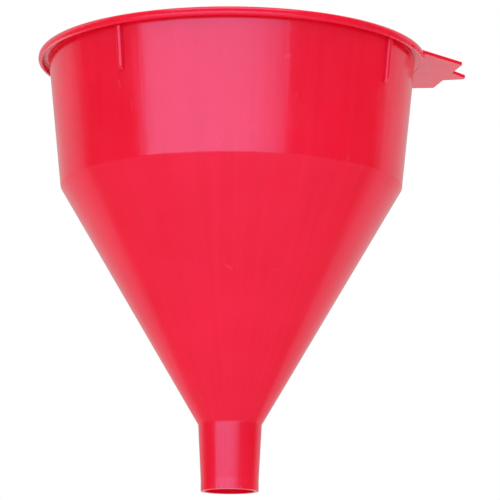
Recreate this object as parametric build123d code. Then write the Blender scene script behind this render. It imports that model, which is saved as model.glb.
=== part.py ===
from build123d import *
import os

# Hand-held filling funnel with a lift-out strainer.
# Frame: origin on the axis at the mouth of the spout, +Z up towards the bowl,
# +X towards the hanging tab. Millimetres.

# Bowl, cone and spout: outside radii, and heights above the mouth of the spout
FUNNEL_HEIGHT = 198.3
WALL = 1.8
TIP_RADIUS = 12.9
TIP_LAND = 5.0
NECK_RADIUS = 14.2
NECK_Z = 29.65
SHOULDER_RADIUS = 77.1
SHOULDER_Z = 137.0
BOWL_TOP_RADIUS = 83.6
BORE_TIP_RADIUS = 11.0
INNER_SHOULDER_RISE = 0.8
INNER_NECK_RISE = 0.6

# Turned-over rim: a flange with a rounded bead at its edge and a lip turned down from it
RIM_RADIUS = 88.1
RIM_THICKNESS = 1.8
LIP_HEIGHT = 4.1
LIP_THICKNESS = 1.8
LIP_GAP_HALF = 32.5

# Rounds of the body's section
NECK_ROUND = 1.0
SHOULDER_ROUND = 1.2
INNER_ROUND = 2.0
BEAD_ROUND = 2.4
GROOVE_ROUND = 1.0
LIP_ROUND = 1.4
LIP_INNER_ROUND = 0.3
EDGE_ROUND = 0.5

# How far one shape runs past another, where they are joined or cut
OVERRUN = 1.0

# Hanging tab: half-widths across the tab, distances out from the axis
TAB_ROOT = 80.0
TAB_ROOT_HALF = 34.7
TAB_EDGE = 102.9
TAB_EDGE_HALF = 22.2
TONGUE_HALF = 7.0
TONGUE_TIP = 111.0
TONGUE_TIP_HALF = 1.2
TAB_ROUND = 0.8
TAB_PLATE = 1.6
TAB_DROOP = 3.0
TAB_EDGE_ROUND = 0.35

# Stacking ribs under the lip, which stop nested funnels from jamming: angles from the tab
RIB_ANGLES = (47.4, 138.7, -138.7, -47.4)
RIB_WIDTH = 2.9
RIB_PROUD = 2.1
RIB_LENGTH = 19.0
RIB_RAMP = 1.5
RIB_NOSE_ROUND = 1.2

# Seat lugs inside the cone, which carry the strainer
SEAT_Z = 88.0
SEAT_COUNT = 4
SEAT_RADIUS = 42.0
SEAT_WIDTH = 7.0

# Strainer
STRAINER_RADIUS = 45.6
STRAINER_HEIGHT = 7.0
STRAINER_WINDOW = 39.6
FRAME_FLOOR = 2.2
FRAME_UPSTAND = 2.0
FRAME_TOP_ROUND = 0.6
SPOKE_COUNT = 4
SPOKE_WIDTH = 2.4
HUB_RADIUS = 7.0
HUB_BORE = 2.6
SNAP_BEAD = 0.35
GAUZE_THICKNESS = 0.8
FIT_GAP = 0.1
CLAMP_HEIGHT = 2.8
CLAMP_ROUND = 0.8

# Pull knob
KNOB_RADIUS = 8.0
KNOB_HEIGHT = 12.0
KNOB_GRIP = 3.2
KNOB_NECK = 3.4
KNOB_FLANGE_RADIUS = 6.0
KNOB_FLANGE = 1.2
KNOB_ROUND = 1.3
STEM_BARB = 3.1
STEM_LEAD = 0.6
STEM_END = 2.2

CONE_SLOPE = (SHOULDER_RADIUS - NECK_RADIUS) / (SHOULDER_Z - NECK_Z)
BOWL_SLOPE = (BOWL_TOP_RADIUS - SHOULDER_RADIUS) / (FUNNEL_HEIGHT - SHOULDER_Z)
CONE_WALL = WALL * (1 + CONE_SLOPE**2) ** 0.5
BOWL_WALL = WALL * (1 + BOWL_SLOPE**2) ** 0.5
GAUZE_Z = SEAT_Z + FRAME_FLOOR
CLAMP_Z = GAUZE_Z + GAUZE_THICKNESS
POCKET_RADIUS = STRAINER_RADIUS - FRAME_UPSTAND


def cone_radius(z):
    """Outside radius of the cone at a height."""
    return NECK_RADIUS + (z - NECK_Z) * CONE_SLOPE


def bowl_radius(z):
    """Outside radius of the bowl wall at a height."""
    return SHOULDER_RADIUS + (z - SHOULDER_Z) * BOWL_SLOPE


def section(points, rounded=()):
    """Face on the XZ plane from radius and height pairs, with some corners rounded."""
    face = make_face(Polyline(*points, close=True)).face()
    for (x, z), radius in rounded:
        corner = min(face.vertices(), key=lambda v: (v.X - x) ** 2 + (v.Y - z) ** 2)
        face = face.fillet_2d(radius, [corner])
    return Plane.XZ * face


def turned(points, rounded=()):
    """Solid of revolution about the funnel's axis."""
    return revolve(section(points, rounded), Axis.Z)


def around(count, first=0.0):
    """Places spaced evenly round the axis, each with its X pointing outwards."""
    return [Rot(0, 0, first + 360 / count * i) for i in range(count)]


def funnel_shell():
    """Bowl, cone, spout and turned-over rim, as one turned shell."""
    top = FUNNEL_HEIGHT
    under_rim = top - RIM_THICKNESS
    lip_end = top - LIP_HEIGHT
    lip_inner_radius = RIM_RADIUS - LIP_THICKNESS
    inner_shoulder_z = SHOULDER_Z + INNER_SHOULDER_RISE
    inner_neck_z = NECK_Z + INNER_NECK_RISE
    bead = (RIM_RADIUS, top)
    lip_outside = (RIM_RADIUS, lip_end)
    lip_inside = (lip_inner_radius, lip_end)
    groove_outer = (lip_inner_radius, under_rim)
    groove_inner = (bowl_radius(under_rim), under_rim)
    shoulder = (SHOULDER_RADIUS, SHOULDER_Z)
    neck = (NECK_RADIUS, NECK_Z)
    mouth = (BOWL_TOP_RADIUS - BOWL_WALL, top)
    inner_shoulder = (bowl_radius(inner_shoulder_z) - BOWL_WALL, inner_shoulder_z)
    inner_neck = (cone_radius(inner_neck_z) - CONE_WALL, inner_neck_z)
    points = [
        (BORE_TIP_RADIUS, 0),
        (TIP_RADIUS, 0),
        (TIP_RADIUS, TIP_LAND),
        neck,
        shoulder,
        groove_inner,
        groove_outer,
        lip_inside,
        lip_outside,
        bead,
        mouth,
        inner_shoulder,
        inner_neck,
    ]
    rounded = [
        (neck, NECK_ROUND),
        (shoulder, SHOULDER_ROUND),
        (groove_inner, EDGE_ROUND),
        (groove_outer, GROOVE_ROUND),
        (lip_inside, LIP_INNER_ROUND),
        (lip_outside, LIP_ROUND),
        (bead, BEAD_ROUND),
        (mouth, EDGE_ROUND),
        (inner_shoulder, INNER_ROUND),
        (inner_neck, INNER_ROUND),
    ]
    return turned(points, rounded)


def lip_gap():
    """Space across the tab where the lip is left out, so that the tab runs flush into the flange."""
    depth = 2 * LIP_HEIGHT
    low_corner = (Align.MIN, Align.CENTER, Align.MAX)
    across = Box(RIM_RADIUS + OVERRUN, 2 * LIP_GAP_HALF, depth, align=low_corner)
    bowl = Cylinder(BOWL_TOP_RADIUS, 3 * depth)
    return Pos(0, 0, FUNNEL_HEIGHT - RIM_THICKNESS) * (across - bowl)


def hanging_tab():
    """Flat plate with a pointed tongue, drooping a little from the rim."""
    half = [
        (TAB_ROOT, TAB_ROOT_HALF),
        (TAB_EDGE, TAB_EDGE_HALF),
        (TAB_EDGE, TONGUE_HALF),
        (TONGUE_TIP, TONGUE_TIP_HALF),
    ]
    mirrored = [(x, -y) for x, y in reversed(half)]
    outline = make_face(Polyline(*half, *mirrored, close=True)).face()
    corners = outline.vertices().filter_by(lambda v: v.X > TAB_ROOT + TAB_ROUND)
    outline = outline.fillet_2d(TAB_ROUND, corners)
    plate = Pos(-TAB_ROOT, 0, 0) * extrude(outline, -TAB_PLATE)
    faces = plate.faces().filter_by(Axis.Z)
    plate = fillet(faces.edges(), TAB_EDGE_ROUND)
    placed = Pos(TAB_ROOT, 0, FUNNEL_HEIGHT) * Rot(0, TAB_DROOP, 0) * plate
    within_rim = Pos(0, 0, FUNNEL_HEIGHT) * Cylinder(RIM_RADIUS - LIP_THICKNESS, 4 * TAB_PLATE)
    return placed - within_rim


def stacking_ribs():
    """Short upright ribs with a rounded nose, which stand out from the bowl wall under the rim."""
    low = FUNNEL_HEIGHT - LIP_HEIGHT - RIB_LENGTH
    high = FUNNEL_HEIGHT - RIM_THICKNESS / 2
    profile = section([
        (bowl_radius(low) - WALL / 2, low),
        (bowl_radius(low) + RIB_PROUD / 3, low),
        (bowl_radius(low + RIB_RAMP) + RIB_PROUD, low + RIB_RAMP),
        (bowl_radius(high) + RIB_PROUD, high),
        (bowl_radius(high) - WALL / 2, high),
    ])
    rib = extrude(profile, RIB_WIDTH / 2, both=True)
    nose = rib.faces().sort_by(Axis.X)[-1]
    long_edges = nose.edges().filter_by(lambda e: e.length > RIB_LENGTH / 2)
    rib = fillet(long_edges, RIB_NOSE_ROUND)
    return [Rot(0, 0, angle) * rib for angle in RIB_ANGLES]


def seat_lugs():
    """Lugs inside the cone with level tops, set half a step round from the tab."""
    reach = cone_radius(SEAT_Z) - CONE_WALL / 2
    foot = SEAT_Z - (reach - SEAT_RADIUS) / CONE_SLOPE
    profile = section([(SEAT_RADIUS, foot), (reach, SEAT_Z), (SEAT_RADIUS, SEAT_Z)])
    lug = extrude(profile, SEAT_WIDTH / 2, both=True)
    return [place * lug for place in around(SEAT_COUNT, 180 / SEAT_COUNT)]


def funnel_body():
    """The whole red moulding in one piece."""
    body = funnel_shell() - lip_gap() + hanging_tab()
    for rib in stacking_ribs():
        body += rib
    for lug in seat_lugs():
        body += lug
    return body


def strainer_frame():
    """Ring with a floor of spokes and a hub, and a bead inside that holds the clamp ring down."""
    top = SEAT_Z + STRAINER_HEIGHT
    bead_z = CLAMP_Z + CLAMP_HEIGHT + FIT_GAP
    corner = (STRAINER_RADIUS, top)
    foot = (STRAINER_RADIUS, SEAT_Z)
    ring = turned(
        [
            (STRAINER_WINDOW, SEAT_Z),
            foot,
            corner,
            (POCKET_RADIUS, top),
            (POCKET_RADIUS, bead_z + 2 * SNAP_BEAD),
            (POCKET_RADIUS - SNAP_BEAD, bead_z + SNAP_BEAD),
            (POCKET_RADIUS, bead_z),
            (POCKET_RADIUS, GAUZE_Z),
            (STRAINER_WINDOW, GAUZE_Z),
        ],
        [(corner, FRAME_TOP_ROUND), (foot, EDGE_ROUND)],
    )
    floor_level = Align.CENTER, Align.CENTER, Align.MIN
    frame = ring + Pos(0, 0, SEAT_Z) * Cylinder(HUB_RADIUS, FRAME_FLOOR, align=floor_level)
    spoke_length = STRAINER_WINDOW + OVERRUN
    spoke = Pos(0, 0, SEAT_Z) * Box(
        spoke_length, SPOKE_WIDTH, FRAME_FLOOR, align=(Align.MIN, Align.CENTER, Align.MIN)
    )
    for place in around(SPOKE_COUNT):
        frame += place * spoke
    bore = Pos(0, 0, SEAT_Z - OVERRUN) * Cylinder(HUB_BORE, FRAME_FLOOR + 2 * OVERRUN, align=floor_level)
    return frame - bore


def strainer_gauze():
    """Woven wire disc, trapped between the frame's floor and the clamp ring."""
    radius = POCKET_RADIUS - 2 * FIT_GAP
    return turned([
        (HUB_BORE, GAUZE_Z),
        (radius, GAUZE_Z),
        (radius, CLAMP_Z),
        (HUB_BORE, CLAMP_Z),
    ])


def clamp_ring():
    """Ring that snaps in under the frame's bead, onto the edge of the gauze."""
    radius = POCKET_RADIUS - FIT_GAP
    top = CLAMP_Z + CLAMP_HEIGHT
    inner_top = (STRAINER_WINDOW, top)
    points = [(STRAINER_WINDOW, CLAMP_Z), (radius, CLAMP_Z), (radius, top), inner_top]
    return turned(points, [(inner_top, CLAMP_ROUND)])


def pull_knob():
    """Finger grip whose barbed stem snaps down through the gauze and the hub."""
    stem = HUB_BORE - FIT_GAP
    stem_foot = SEAT_Z - STEM_END
    barb_z = SEAT_Z - FIT_GAP
    flange_z = CLAMP_Z + KNOB_FLANGE
    top = CLAMP_Z + KNOB_HEIGHT
    grip_z = top - KNOB_GRIP
    flange = (KNOB_FLANGE_RADIUS, flange_z)
    waist_foot = (KNOB_NECK, flange_z)
    waist_top = (KNOB_NECK, grip_z)
    grip_foot = (KNOB_RADIUS, grip_z)
    grip_top = (KNOB_RADIUS, top)
    points = [
        (0, stem_foot),
        (stem - STEM_LEAD, stem_foot),
        (STEM_BARB, barb_z),
        (stem, barb_z),
        (stem, CLAMP_Z),
        (KNOB_FLANGE_RADIUS, CLAMP_Z),
        flange,
        waist_foot,
        waist_top,
        grip_foot,
        grip_top,
        (0, top),
    ]
    rounded = [
        (flange, EDGE_ROUND),
        (waist_foot, KNOB_ROUND),
        (waist_top, KNOB_ROUND),
        (grip_foot, KNOB_ROUND),
        (grip_top, KNOB_ROUND),
    ]
    return turned(points, rounded)


PARTS = {
    "funnel_body": funnel_body,
    "strainer_frame": strainer_frame,
    "strainer_gauze": strainer_gauze,
    "strainer_clamp_ring": clamp_ring,
    "strainer_pull_knob": pull_knob,
}

os.makedirs("parts", exist_ok=True)
for node, build in PARTS.items():
    export_step(build(), f"parts/{node}.step")
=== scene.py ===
from math import ceil, cos, pi, radians, sin, sqrt, tan

import bmesh
import bpy
from mathutils import Matrix, Vector


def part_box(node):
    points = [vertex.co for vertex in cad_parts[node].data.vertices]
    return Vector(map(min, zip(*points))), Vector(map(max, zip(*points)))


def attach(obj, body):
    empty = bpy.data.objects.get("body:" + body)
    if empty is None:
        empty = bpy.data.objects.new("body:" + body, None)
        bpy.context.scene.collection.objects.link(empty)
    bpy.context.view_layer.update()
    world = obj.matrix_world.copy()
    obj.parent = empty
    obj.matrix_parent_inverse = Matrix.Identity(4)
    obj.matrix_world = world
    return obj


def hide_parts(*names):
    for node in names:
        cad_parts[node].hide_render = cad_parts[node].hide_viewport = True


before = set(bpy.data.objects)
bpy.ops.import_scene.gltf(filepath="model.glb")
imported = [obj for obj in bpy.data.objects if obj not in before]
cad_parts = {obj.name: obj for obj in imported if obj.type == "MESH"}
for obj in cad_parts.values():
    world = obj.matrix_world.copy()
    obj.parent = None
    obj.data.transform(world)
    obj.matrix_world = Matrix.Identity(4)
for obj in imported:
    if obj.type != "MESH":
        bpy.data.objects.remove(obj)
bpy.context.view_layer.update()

MM = 0.001

# ---------------------------------------------------------------- frame places
RIM_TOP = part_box("funnel_body")[1].z
GAUZE_LOW, GAUZE_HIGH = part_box("strainer_gauze")
GAUZE_RADIUS = GAUZE_HIGH.x
GAUZE_MIDDLE = (GAUZE_LOW.z + GAUZE_HIGH.z) / 2

# ---------------------------------------------------------------- wire cloth
# the cloth is two wires thick
WIRE_RADIUS = (GAUZE_HIGH.z - GAUZE_LOW.z) / 4
WIRE_PITCH = 1.5 * MM
WIRE_SIDES = 6
STEPS_PER_PITCH = 2
SEAM_GAP = 0.01 * MM
STEM_CLEARANCE = 3.2 * MM

# ---------------------------------------------------------------- plastics and brass
RED_DEEP = (0.81, 0.0010, 0.015)
RED_BRIGHT = (0.87, 0.0022, 0.021)
RED_FLOW = (0.90, 0.0060, 0.031)
RED_SCUFFED = (0.90, 0.1500, 0.180)
RED_IOR = 1.68
RED_GLOSS_TINT = (0.13, 0.51, 1.0)
RIM_WEAR_DEPTH = 6 * MM
SPOUT_WEAR_HEIGHT = 5 * MM
HAIRLINE_SHARE = 0.15
SCUFF_SHARE = 0.22

BLACK_DEEP = (0.011, 0.011, 0.012)
BLACK_WORN = (0.021, 0.021, 0.022)
BLACK_DUST = (0.075, 0.070, 0.066)
BLACK_IOR = 1.49
DUST_DULLING = 0.6

BRASS_DEEP = (0.72, 0.51, 0.21)
BRASS_BRIGHT = (0.82, 0.63, 0.31)
BRASS_TARNISH = (0.36, 0.24, 0.10)
TARNISH_DULLING = 0.3

# most of a noise's values lie between these
NOISE_LOW = 0.3
NOISE_HIGH = 0.7

# ---------------------------------------------------------------- camera
# degrees, metres, and millimetres of lens
CAMERA_AZIMUTH = -12.9
CAMERA_DISTANCE = 1.2367
CAMERA_HEIGHT = -0.1238
CAMERA_PITCH = 10.655
CAMERA_YAW = 0.444
CAMERA_ROLL = 0.25
CAMERA_LENS = 201.2
CAMERA_SENSOR = 36
CAMERA_NEAR = 0.01
CAMERA_FAR = 200

# ---------------------------------------------------------------- floor and softboxes
FLOOR_Z = -0.26
FLOOR_SIZE = 60.0
FLOOR_GREY = 0.72
FLOOR_ROUGHNESS = 0.9

# the front softbox: degrees round from the camera's side, degrees up, and metres away
LIGHTS_CENTRE = Vector((0, 0, 0.12))
FRONT_AZIMUTH = -11.0
FRONT_HALF_WIDTH = 45.0
FRONT_LOW = -8.0
FRONT_HIGH = 14.0
FRONT_DISTANCE = 1.0
FRONT_RADIANCE = 2.6
# it dims from this share of its width to this share of its strength at its right-hand end
FADE_START = 0.66
FADE_END = 0.42

TOP_ELEVATION = 75.0
TOP_DISTANCE = 1.1
TOP_WIDTH = 0.9
TOP_DEPTH = 0.6
TOP_RADIANCE = 2.2

# ---------------------------------------------------------------- surroundings
# strengths
SWEEP_LOW = 0.60
TENT_FRONT = 1.10
TENT_BACK = 0.62
TENT_FLOOR = 1.10
TENT_ROOF = 0.90
ROOM_DIM = 0.05
BACKDROP = 0.60
GROUND = 0.34
POOL = 1.7

# where they change, as the sine of a direction's height
SWEEP_HEIGHTS = (0, 0.09)
TENT_HEIGHTS = (-0.5, 0.5)
GROUND_HEIGHTS = (-0.25, -0.60)
POOL_FAR_EDGE = (-0.27, -0.40)
POOL_NEAR_EDGE = (-0.74, -0.64)

# where they change, as the cosine of a direction to the way that the camera looks
TENT_SIDES = (-0.2, 0.85)
BACKDROP_SIDES = (0.30, 0.50)
POOL_SIDES = (0.40, 0.75)
# the tent is turned from that way by this many degrees
TENT_TURN = 15.0


# ---------------------------------------------------------------- shader helpers
def new_material(name):
    material = bpy.data.materials.new(name)
    material.use_nodes = True
    tree = material.node_tree
    tree.nodes.clear()
    shader = tree.nodes.new("ShaderNodeBsdfPrincipled")
    output = tree.nodes.new("ShaderNodeOutputMaterial")
    join(tree, shader.outputs["BSDF"], output.inputs["Surface"])
    return material, tree, shader


def join(tree, source, target):
    tree.links.new(source, target)


def add(tree, kind, **sockets):
    """A node with some unlinked sockets set."""
    node = tree.nodes.new(kind)
    for name, value in sockets.items():
        node.inputs[name].default_value = value
    return node


def object_place(tree, scale=(1, 1, 1)):
    """Object coordinates, in metres, stretched by a scale."""
    coords = add(tree, "ShaderNodeTexCoord")
    mapping = add(tree, "ShaderNodeMapping", Scale=scale)
    join(tree, coords.outputs["Object"], mapping.inputs["Vector"])
    return mapping.outputs["Vector"]


def noise(tree, place, size, detail=2.0, roughness=0.5):
    """Noise whose grains are about the given size in metres."""
    node = add(tree, "ShaderNodeTexNoise", Scale=1 / size, Detail=detail, Roughness=roughness)
    join(tree, place, node.inputs["Vector"])
    return node.outputs["Fac"]


def remap(tree, value, low, high, out_low, out_high):
    """Goes straight from out_low to out_high as the value goes from low to high, and stays there."""
    node = add(tree, "ShaderNodeMapRange")
    node.inputs["From Min"].default_value = low
    node.inputs["From Max"].default_value = high
    node.inputs["To Min"].default_value = out_low
    node.inputs["To Max"].default_value = out_high
    join(tree, value, node.inputs["Value"])
    return node.outputs["Result"]


def rise(tree, value, start, full, top=1.0):
    """0 up to the start, then straight up to the top at full."""
    return remap(tree, value, start, full, 0, top)


def clouds(tree, place, size, detail=3.0, roughness=0.5, low=0.0, high=1.0):
    """Soft patches of about this size, from low to high."""
    return remap(tree, noise(tree, place, size, detail, roughness), NOISE_LOW, NOISE_HIGH, low, high)


def blend_colours(tree, factor, first, second):
    """Mixes two colours, each a tuple or a socket."""
    node = tree.nodes.new("ShaderNodeMix")
    node.data_type = "RGBA"
    join(tree, factor, node.inputs["Factor"])
    colours = [socket for socket in node.inputs if socket.type == "RGBA"]
    for socket, colour in zip(colours, (first, second)):
        if isinstance(colour, tuple):
            socket.default_value = (*colour, 1)
        else:
            join(tree, colour, socket)
    return [socket for socket in node.outputs if socket.type == "RGBA"][0]


def arithmetic(tree, operation, *values):
    """One Math node; each value is a number or a socket."""
    node = tree.nodes.new("ShaderNodeMath")
    node.operation = operation
    for socket, value in zip(node.inputs, values):
        if isinstance(value, (int, float)):
            socket.default_value = value
        else:
            join(tree, value, socket)
    return node.outputs["Value"]


def vector_math(tree, operation, *values):
    """One Vector Math node; each value is a tuple or a socket."""
    node = tree.nodes.new("ShaderNodeVectorMath")
    node.operation = operation
    for socket, value in zip(node.inputs, values):
        if isinstance(value, tuple):
            socket.default_value = value
        else:
            join(tree, value, socket)
    return node


def round_the_axis(tree, width, length):
    """Coordinates for marks this wide, in radians round the Z axis, and this long up it, in metres."""
    place = object_place(tree)
    level = vector_math(tree, "MULTIPLY", place, (1, 1, 0)).outputs["Vector"]
    outwards = vector_math(tree, "NORMALIZE", level).outputs["Vector"]
    around = vector_math(tree, "MULTIPLY", outwards, (1 / width, 1 / width, 0)).outputs["Vector"]
    along = vector_math(tree, "MULTIPLY", place, (0, 0, 1 / length)).outputs["Vector"]
    return vector_math(tree, "ADD", around, along).outputs["Vector"]


def height_band(tree, start, full):
    """Goes from 0 to 1 as the height in metres goes from start to full."""
    split = tree.nodes.new("ShaderNodeSeparateXYZ")
    join(tree, object_place(tree), split.inputs["Vector"])
    return rise(tree, split.outputs["Z"], start, full)


def bump(tree, height, depth, under=None):
    """Raises the surface by a depth in metres, on top of another bump if there is one."""
    node = add(tree, "ShaderNodeBump", Strength=1.0, Distance=depth)
    join(tree, height, node.inputs["Height"])
    if under is not None:
        join(tree, under, node.inputs["Normal"])
    return node.outputs["Normal"]


# ---------------------------------------------------------------- materials
def hairline_scratches(tree, place):
    """Fine scratches in patches, one lot drawn out along X and the other along Y, and both up the wall."""
    along_x = object_place(tree, scale=(0.12, 1.0, 0.10))
    along_y = object_place(tree, scale=(1.0, 0.10, 0.16))
    first = noise(tree, along_x, size=1.1 * MM, detail=3, roughness=0.55)
    second = noise(tree, along_y, size=1.2 * MM, detail=3, roughness=0.55)
    first = rise(tree, first, start=0.66, full=0.72)
    second = rise(tree, second, start=0.67, full=0.73)
    patches = rise(tree, noise(tree, place, size=22 * MM, detail=3), start=0.50, full=0.66)
    return arithmetic(tree, "MULTIPLY", arithmetic(tree, "MAXIMUM", first, second), patches)


def scuffed_ends(tree, place):
    """Rubbed specks at the rim and at the spout's mouth, in patches."""
    rim_end = height_band(tree, RIM_TOP - RIM_WEAR_DEPTH, RIM_TOP)
    spout_end = height_band(tree, SPOUT_WEAR_HEIGHT, 0)
    ends = arithmetic(tree, "MAXIMUM", rim_end, spout_end)
    specks = noise(tree, object_place(tree, scale=(1, 1, 0.35)), size=1.0 * MM, detail=3, roughness=0.6)
    specks = rise(tree, specks, start=0.54, full=0.62)
    patches = rise(tree, noise(tree, place, size=14 * MM, detail=3), start=0.45, full=0.65)
    return arithmetic(tree, "MULTIPLY", specks, arithmetic(tree, "MULTIPLY", ends, patches))


def red_polyethylene():
    """Glossy moulded plastic: flow streaks up from the spout, a faint peel, scratches and scuffed ends."""
    material, tree, shader = new_material("red_polyethylene")
    place = object_place(tree)
    streaks = noise(tree, round_the_axis(tree, width=0.06, length=90 * MM), size=1, detail=3, roughness=0.6)
    tone = blend_colours(tree, clouds(tree, place, size=35 * MM), RED_DEEP, RED_BRIGHT)
    tone = blend_colours(tree, rise(tree, streaks, start=0.40, full=0.75, top=0.55), tone, RED_FLOW)

    hairlines = hairline_scratches(tree, place)
    scratched = arithmetic(tree, "MULTIPLY", hairlines, HAIRLINE_SHARE)
    scuffed = arithmetic(tree, "MULTIPLY", scuffed_ends(tree, place), SCUFF_SHARE)
    marks = arithmetic(tree, "MAXIMUM", scratched, scuffed)
    join(tree, blend_colours(tree, marks, tone, RED_SCUFFED), shader.inputs["Base Color"])

    gloss = noise(tree, place, size=12 * MM, detail=4, roughness=0.6)
    gloss = remap(tree, gloss, low=0.25, high=0.75, out_low=0.17, out_high=0.23)
    dulled = rise(tree, marks, start=0, full=0.5, top=0.24)
    join(tree, arithmetic(tree, "ADD", gloss, dulled), shader.inputs["Roughness"])

    drag = bump(tree, streaks, depth=0.12 * MM)
    peel = bump(tree, noise(tree, place, size=4.5 * MM), depth=0.03 * MM, under=drag)
    cuts = bump(tree, hairlines, depth=-0.01 * MM, under=peel)
    join(tree, cuts, shader.inputs["Normal"])
    shader.inputs["IOR"].default_value = RED_IOR
    shader.inputs["Specular Tint"].default_value = (*RED_GLOSS_TINT, 1)
    return material


def black_polypropylene():
    """Satin moulded plastic with a fine spark-eroded grain and dust in patches."""
    material, tree, shader = new_material("black_polypropylene")
    place = object_place(tree)
    tone = blend_colours(tree, clouds(tree, place, size=10 * MM), BLACK_DEEP, BLACK_WORN)
    dust = noise(tree, place, size=3.5 * MM, detail=5, roughness=0.7)
    dust = rise(tree, dust, start=0.56, full=0.72, top=0.35)
    join(tree, blend_colours(tree, dust, tone, BLACK_DUST), shader.inputs["Base Color"])

    gloss = clouds(tree, place, size=4 * MM, low=0.32, high=0.44)
    dulled = arithmetic(tree, "MULTIPLY", dust, DUST_DULLING)
    join(tree, arithmetic(tree, "ADD", gloss, dulled), shader.inputs["Roughness"])

    grain = noise(tree, place, size=0.6 * MM, detail=3, roughness=0.6)
    join(tree, bump(tree, grain, depth=0.05 * MM), shader.inputs["Normal"])
    shader.inputs["IOR"].default_value = BLACK_IOR
    return material


def brass_wire():
    """Drawn brass, a little tarnished in patches."""
    material, tree, shader = new_material("brass_wire")
    place = object_place(tree)
    tone = blend_colours(tree, clouds(tree, place, size=12 * MM), BRASS_DEEP, BRASS_BRIGHT)
    tarnish = noise(tree, place, size=6 * MM, detail=4, roughness=0.65)
    tarnish = rise(tree, tarnish, start=0.54, full=0.72, top=0.45)
    join(tree, blend_colours(tree, tarnish, tone, BRASS_TARNISH), shader.inputs["Base Color"])

    gloss = clouds(tree, place, size=3 * MM, detail=2, low=0.20, high=0.32)
    dulled = arithmetic(tree, "MULTIPLY", tarnish, TARNISH_DULLING)
    join(tree, arithmetic(tree, "ADD", gloss, dulled), shader.inputs["Roughness"])

    drawn = noise(tree, place, size=0.25 * MM)
    join(tree, bump(tree, drawn, depth=0.02 * MM), shader.inputs["Normal"])
    shader.inputs["Metallic"].default_value = 1.0
    return material


def paint(piece, material):
    """Puts one material in every slot a piece has."""
    slots = piece.data.materials
    if not slots:
        slots.append(material)
    for index in range(len(slots)):
        slots[index] = material


# ---------------------------------------------------------------- wire cloth
def crimped_wire():
    """One wire along X, waving up and down over the wires that cross it, longer than the disc is wide."""
    wire = bmesh.new()
    step = WIRE_PITCH / STEPS_PER_PITCH
    steps = 2 * ceil((GAUZE_RADIUS + WIRE_PITCH) / step)
    half_length = steps / 2 * step
    # a flat sheet from -1 to 1 both ways, rolled up into a tube
    bmesh.ops.create_grid(wire, x_segments=steps, y_segments=WIRE_SIDES, size=1)
    for vertex in wire.verts:
        x, turn = vertex.co.x * half_length, vertex.co.y * pi
        crimp = WIRE_RADIUS * cos(pi * x / WIRE_PITCH)
        vertex.co = (x, WIRE_RADIUS * cos(turn), crimp - WIRE_RADIUS * sin(turn))
    bmesh.ops.remove_doubles(wire, verts=wire.verts, dist=SEAM_GAP)
    ends = [edge for edge in wire.edges if edge.is_boundary]
    bmesh.ops.holes_fill(wire, edges=ends, sides=WIRE_SIDES)
    bmesh.ops.recalc_face_normals(wire, faces=wire.faces)
    return wire


def trimmed(wire, low, high):
    """A copy of the wire between two places along it, with its cut ends closed."""
    piece = wire.copy()
    for place, side in ((low, -1), (high, 1)):
        everything = piece.verts[:] + piece.edges[:] + piece.faces[:]
        cut = bmesh.ops.bisect_plane(
            piece, geom=everything, plane_co=(place, 0, 0), plane_no=(side, 0, 0), clear_outer=True
        )
        rim = [e for e in cut["geom_cut"] if isinstance(e, bmesh.types.BMEdge)]
        bmesh.ops.holes_fill(piece, edges=rim, sides=0)
    return piece


def wire_spans(across):
    """Where the wire this far from the middle runs: in one length, or in two beside the knob's stem."""
    reach = GAUZE_RADIUS - WIRE_RADIUS
    end = sqrt(max(reach**2 - across**2, WIRE_PITCH**2))
    if abs(across) < STEM_CLEARANCE:
        hole = sqrt(STEM_CLEARANCE**2 - across**2) + WIRE_RADIUS
        return [(-end, -hole), (hole, end)]
    return [(-end, end)]


def wire_cloth(material):
    """Plain-woven disc with a hole for the knob's stem: wires along X, then the same along Y."""
    cloth = bmesh.new()
    wire = crimped_wire()
    count = int(GAUZE_RADIUS / WIRE_PITCH)
    for turn in (0, 1):
        quarter_turn = Matrix.Rotation(turn * pi / 2, 3, "Z")
        for i in range(-count, count + 1):
            across = i * WIRE_PITCH
            shift = WIRE_PITCH * ((i + turn) % 2)
            for low, high in wire_spans(across):
                piece = trimmed(wire, low - shift, high - shift)
                bmesh.ops.translate(piece, verts=piece.verts, vec=(shift, across, 0))
                bmesh.ops.rotate(piece, verts=piece.verts, matrix=quarter_turn)
                strand = bpy.data.meshes.new("strand")
                piece.to_mesh(strand)
                cloth.from_mesh(strand)
                bpy.data.meshes.remove(strand)
                piece.free()
    wire.free()
    bmesh.ops.translate(cloth, verts=cloth.verts, vec=(0, 0, GAUZE_MIDDLE))
    return finished("woven_gauze", cloth, material)


def finished(name, shape, material):
    """An object at the origin from a bmesh, smooth, with one material."""
    mesh = bpy.data.meshes.new(name)
    for face in shape.faces:
        face.smooth = True
    shape.to_mesh(mesh)
    shape.free()
    mesh.materials.append(material)
    piece = bpy.data.objects.new(name, mesh)
    bpy.context.scene.collection.objects.link(piece)
    return piece


# ---------------------------------------------------------------- pieces
red = red_polyethylene()
black = black_polypropylene()
brass = brass_wire()
paint(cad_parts["funnel_body"], red)
paint(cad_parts["strainer_frame"], black)
paint(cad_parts["strainer_clamp_ring"], black)
paint(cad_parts["strainer_pull_knob"], black)

gauze = wire_cloth(brass)
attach(gauze, "strainer")
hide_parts("strainer_gauze")


# ---------------------------------------------------------------- studio
def direction(azimuth, elevation):
    """Unit vector from the object; azimuth 0 is towards -Y and turns towards +X."""
    a, e = radians(azimuth), radians(elevation)
    return Vector((sin(a) * cos(e), -cos(a) * cos(e), sin(e)))


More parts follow.
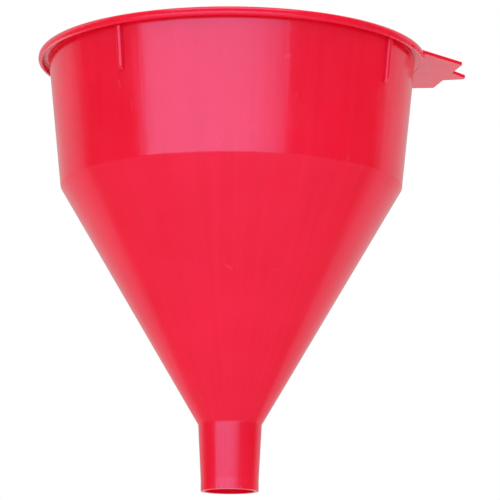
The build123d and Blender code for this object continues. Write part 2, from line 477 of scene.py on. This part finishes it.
def floor():
    """Pale floor that only the camera sees, so that it casts no colour on the object."""
    shape = bmesh.new()
    level = Matrix.Translation((0, 0, FLOOR_Z))
    bmesh.ops.create_grid(shape, x_segments=1, y_segments=1, size=FLOOR_SIZE / 2, matrix=level)
    material, _, shader = new_material("floor_paint")
    shader.inputs["Base Color"].default_value = (FLOOR_GREY, FLOOR_GREY, FLOOR_GREY, 1)
    shader.inputs["Roughness"].default_value = FLOOR_ROUGHNESS
    shader.inputs["Specular IOR Level"].default_value = 0.0
    ground = finished("studio_floor", shape, material)
    ground.visible_glossy = False
    ground.visible_diffuse = False


def softbox(name, towards, distance, width, height, radiance):
    """Rectangular light that faces the object from a direction, unseen by the camera."""
    light = bpy.data.lights.new(name, "AREA")
    light.shape = "RECTANGLE"
    light.size = width
    light.size_y = height
    light.energy = radiance * pi * width * height
    lamp = bpy.data.objects.new(name, light)
    bpy.context.scene.collection.objects.link(lamp)
    lamp.location = LIGHTS_CENTRE + towards * distance
    lamp.rotation_mode = "QUATERNION"
    lamp.rotation_quaternion = towards.to_track_quat("Z", "Y")
    lamp.visible_camera = False
    return lamp


def fade(light):
    """Dims a softbox towards its right-hand end."""
    light.use_nodes = True
    tree = light.node_tree
    place = tree.nodes.new("ShaderNodeNewGeometry")
    split = tree.nodes.new("ShaderNodeSeparateXYZ")
    join(tree, place.outputs["Parametric"], split.inputs["Vector"])
    strength = remap(tree, split.outputs["X"], FADE_START, 1, 1, FADE_END)
    join(tree, strength, tree.nodes["Emission"].inputs["Strength"])


def lights():
    """A wide softbox in front at the funnel's own height, which only the gloss mirrors, and one overhead."""
    towards = direction(CAMERA_AZIMUTH + FRONT_AZIMUTH, (FRONT_LOW + FRONT_HIGH) / 2)
    width = 2 * FRONT_DISTANCE * tan(radians(FRONT_HALF_WIDTH))
    height = FRONT_DISTANCE * radians(FRONT_HIGH - FRONT_LOW)
    front = softbox("front_softbox", towards, FRONT_DISTANCE, width, height, FRONT_RADIANCE)
    front.visible_diffuse = False
    fade(front.data)
    above = direction(CAMERA_AZIMUTH, TOP_ELEVATION)
    softbox("top_softbox", above, TOP_DISTANCE, TOP_WIDTH, TOP_DEPTH, TOP_RADIANCE)


def background(tree, strength):
    """White surroundings of a strength that varies with direction."""
    node = add(tree, "ShaderNodeBackground", Color=(1, 1, 1, 1))
    join(tree, strength, node.inputs["Strength"])
    return node.outputs["Background"]


def switched(tree, test, otherwise, when_true):
    """One surroundings where the test is true, and another elsewhere."""
    node = tree.nodes.new("ShaderNodeMixShader")
    _, first, second = node.inputs
    join(tree, test, node.inputs["Fac"])
    join(tree, otherwise, first)
    join(tree, when_true, second)
    return node.outputs["Shader"]


def tent(tree, place, up):
    """What soft light comes from: a white tent, stronger in front and on the left, and lower down."""
    behind = -direction(CAMERA_AZIMUTH - TENT_TURN, 0)
    along = vector_math(tree, "DOT_PRODUCT", place, tuple(behind)).outputs["Value"]
    sides = remap(tree, along, *TENT_SIDES, TENT_FRONT, TENT_BACK)
    heights = remap(tree, up, *TENT_HEIGHTS, TENT_FLOOR, TENT_ROOF)
    return background(tree, arithmetic(tree, "MULTIPLY", sides, heights))


def mirrored_room(tree, place, up):
    """What the gloss mirrors: a dim room with a pale backdrop behind, a pale floor, and a brighter pool
    on the floor in front of the funnel and another behind it."""
    behind = -direction(CAMERA_AZIMUTH, 0)
    along = vector_math(tree, "DOT_PRODUCT", place, tuple(behind)).outputs["Value"]
    backdrop = remap(tree, along, *BACKDROP_SIDES, ROOM_DIM, BACKDROP)
    ground = remap(tree, up, *GROUND_HEIGHTS, ROOM_DIM, GROUND)
    facing = rise(tree, arithmetic(tree, "ABSOLUTE", along), *POOL_SIDES, top=POOL)
    far_edge = rise(tree, up, *POOL_FAR_EDGE)
    near_edge = rise(tree, up, *POOL_NEAR_EDGE)
    pools = arithmetic(tree, "MULTIPLY", facing, arithmetic(tree, "MULTIPLY", far_edge, near_edge))
    room = arithmetic(tree, "MAXIMUM", backdrop, ground)
    return background(tree, arithmetic(tree, "MAXIMUM", room, pools))


def studio_world():
    """The camera sees a pale sweep, soft light comes from the tent, and the gloss mirrors the room."""
    world = bpy.data.worlds.new("studio")
    world.use_nodes = True
    tree = world.node_tree
    tree.nodes.clear()
    place = tree.nodes.new("ShaderNodeTexCoord").outputs["Generated"]
    split = tree.nodes.new("ShaderNodeSeparateXYZ")
    join(tree, place, split.inputs["Vector"])
    up = split.outputs["Z"]
    ray = tree.nodes.new("ShaderNodeLightPath")
    sweep = background(tree, remap(tree, up, *SWEEP_HEIGHTS, SWEEP_LOW, 1))
    lighting = switched(
        tree, ray.outputs["Is Glossy Ray"], tent(tree, place, up), mirrored_room(tree, place, up)
    )
    output = tree.nodes.new("ShaderNodeOutputWorld")
    whole = switched(tree, ray.outputs["Is Camera Ray"], lighting, sweep)
    join(tree, whole, output.inputs["Surface"])
    world.cycles.sampling_method = "NONE"
    bpy.context.scene.world = world


def camera():
    data = bpy.data.cameras.new("camera")
    data.lens = CAMERA_LENS
    data.sensor_width = CAMERA_SENSOR
    data.clip_start = CAMERA_NEAR
    data.clip_end = CAMERA_FAR
    eye = bpy.data.objects.new("camera", data)
    bpy.context.scene.collection.objects.link(eye)
    eye.location = direction(CAMERA_AZIMUTH, 0) * CAMERA_DISTANCE + Vector((0, 0, CAMERA_HEIGHT))
    eye.rotation_euler = (
        radians(90 + CAMERA_PITCH),
        radians(-CAMERA_ROLL),
        radians(CAMERA_AZIMUTH - CAMERA_YAW),
    )
    bpy.context.scene.camera = eye


floor()
lights()
studio_world()
camera()
bpy.context.scene.view_settings.view_transform = "Standard"
